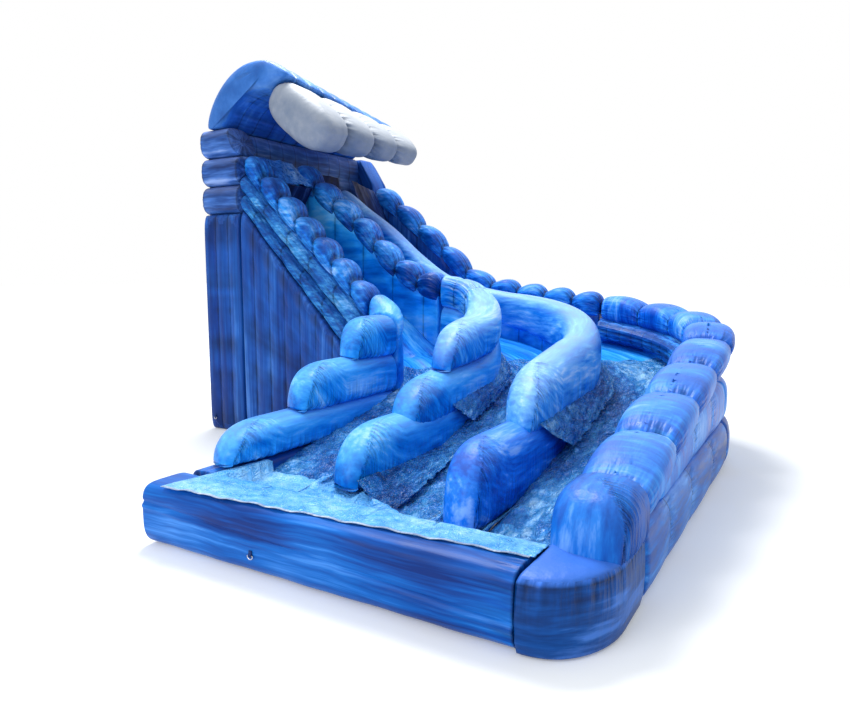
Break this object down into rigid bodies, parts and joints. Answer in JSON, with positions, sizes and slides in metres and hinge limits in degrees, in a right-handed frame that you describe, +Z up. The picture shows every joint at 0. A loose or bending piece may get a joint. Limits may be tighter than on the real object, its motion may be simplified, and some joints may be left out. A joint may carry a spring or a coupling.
{
  "type": "inflatable water slide",
  "caption": "Inflatable water slide: a tall tower under a curling wave crest, channels that curve a quarter turn between cushioned guards, and a splash pool.",
  "frame": {"origin": "middle of the bounding box on the ground", "axes": "+X runs down the slope away from the tower, +Z is up, and -Y faces the pool's front tube"},
  "size_m": [8.7555, 8.4524, 6.0745],
  "materials": {
    "marbled_blue_vinyl": "glossy PVC-coated cloth with a streaky marbled blue print, puckered along its seams",
    "deep_blue_vinyl": "glossy PVC-coated cloth in a deeper marbled blue with upright streaks",
    "liner_vinyl": "thin wet-look PVC sheet, creased, bright blue",
    "white_vinyl": "white PVC-coated cloth, satin",
    "steel": "zinc-plated"
  },
  "bodies": {
    "slide": {"climbing_mat": "liner_vinyl", "divider_1_lower_cushion": "marbled_blue_vinyl", "divider_1_middle_cushion": "marbled_blue_vinyl", "divider_1_slope_guard": "marbled_blue_vinyl", "divider_1_turn_chamber_a": "marbled_blue_vinyl", "divider_1_turn_chamber_b": "marbled_blue_vinyl", "divider_1_upper_cushion": "marbled_blue_vinyl", "divider_2_lower_cushion": "marbled_blue_vinyl", "divider_2_slope_guard": "marbled_blue_vinyl", "divider_2_turn_chamber_a": "marbled_blue_vinyl", "divider_2_turn_chamber_b": "marbled_blue_vinyl", "divider_2_upper_cushion": "marbled_blue_vinyl", "foam_puff_1": "white_vinyl", "foam_puff_2": "white_vinyl", "foam_puff_3": "white_vinyl", "foam_puff_4": "white_vinyl", "front_anchor_tab": "liner_vinyl", "inflation_sleeve": "marbled_blue_vinyl", "inner_corner_chamber": "marbled_blue_vinyl", "inner_lane_exit_chamber": "marbled_blue_vinyl", "inner_lane_slope_chamber": "marbled_blue_vinyl", "inner_lane_turn_chamber": "marbled_blue_vinyl", "inner_lower_cushion": "marbled_blue_vinyl", "inner_middle_cushion": "marbled_blue_vinyl", "inner_slope_cushions": "marbled_blue_vinyl", "inner_upper_cushion": "marbled_blue_vinyl", "middle_lane_exit_chamber": "marbled_blue_vinyl", "middle_lane_slope_chamber": "marbled_blue_vinyl", "middle_lane_turn_chamber": "marbled_blue_vinyl", "outer_base_tube_exit": "marbled_blue_vinyl", "outer_base_tube_turn": "marbled_blue_vinyl", "outer_exit_cushions": "marbled_blue_vinyl", "outer_lane_exit_chamber": "marbled_blue_vinyl", "outer_lane_slope_chamber": "marbled_blue_vinyl", "outer_lane_turn_chamber": "marbled_blue_vinyl", "outer_middle_tube_exit": "marbled_blue_vinyl", "outer_middle_tube_turn": "marbled_blue_vinyl", "outer_nose_cushion": "marbled_blue_vinyl", "outer_slope_guard": "marbled_blue_vinyl", "outer_turn_cushions_a": "marbled_blue_vinyl", "outer_turn_cushions_b": "marbled_blue_vinyl", "pool_corner_block": "marbled_blue_vinyl", "pool_front_tube": "marbled_blue_vinyl", "pool_left_tube": "marbled_blue_vinyl", "pool_liner": "liner_vinyl", "slope_lower_tube": "marbled_blue_vinyl", "slope_side_panel": "deep_blue_vinyl", "slope_upper_tube": "marbled_blue_vinyl", "tower_anchor_tab": "liner_vinyl", "tower_back_wall": "deep_blue_vinyl", "tower_core_chamber": "deep_blue_vinyl", "tower_far_panel": "deep_blue_vinyl", "tower_near_band": "deep_blue_vinyl", "tower_near_panel": "deep_blue_vinyl", "wave_crest": "deep_blue_vinyl", "zip_track": "steel"},
    "front_ring": {"front_anchor_ring": "steel"},
    "tower_ring": {"tower_anchor_ring": "steel"},
    "slider": {"zip_slider": "steel"},
    "flap": {"zip_flap": "liner_vinyl"}
  },
  "joints": [
    {"name": "front_ring_swing", "type": "hinge", "parent": "slide", "child": "front_ring", "pos_m": [1.2075, -4.2265, 0.22], "axis": [-1, 0, 0], "range_deg": [0, 140]},
    {"name": "tower_ring_swing", "type": "hinge", "parent": "slide", "child": "tower_ring", "pos_m": [-3.6325, -0.2015, 0.22], "axis": [-1, 0, 0], "range_deg": [0, 140]},
    {"name": "zip_slide", "type": "slide", "parent": "slide", "child": "slider", "axis": [0, 1, 0], "range_m": [0, 0.51]},
    {"name": "flap_lift", "type": "hinge", "parent": "slide", "child": "flap", "pos_m": [-0.303, -2.675, 0.256], "axis": [0, 1, 0], "range_deg": [0, 85]}
  ]
}
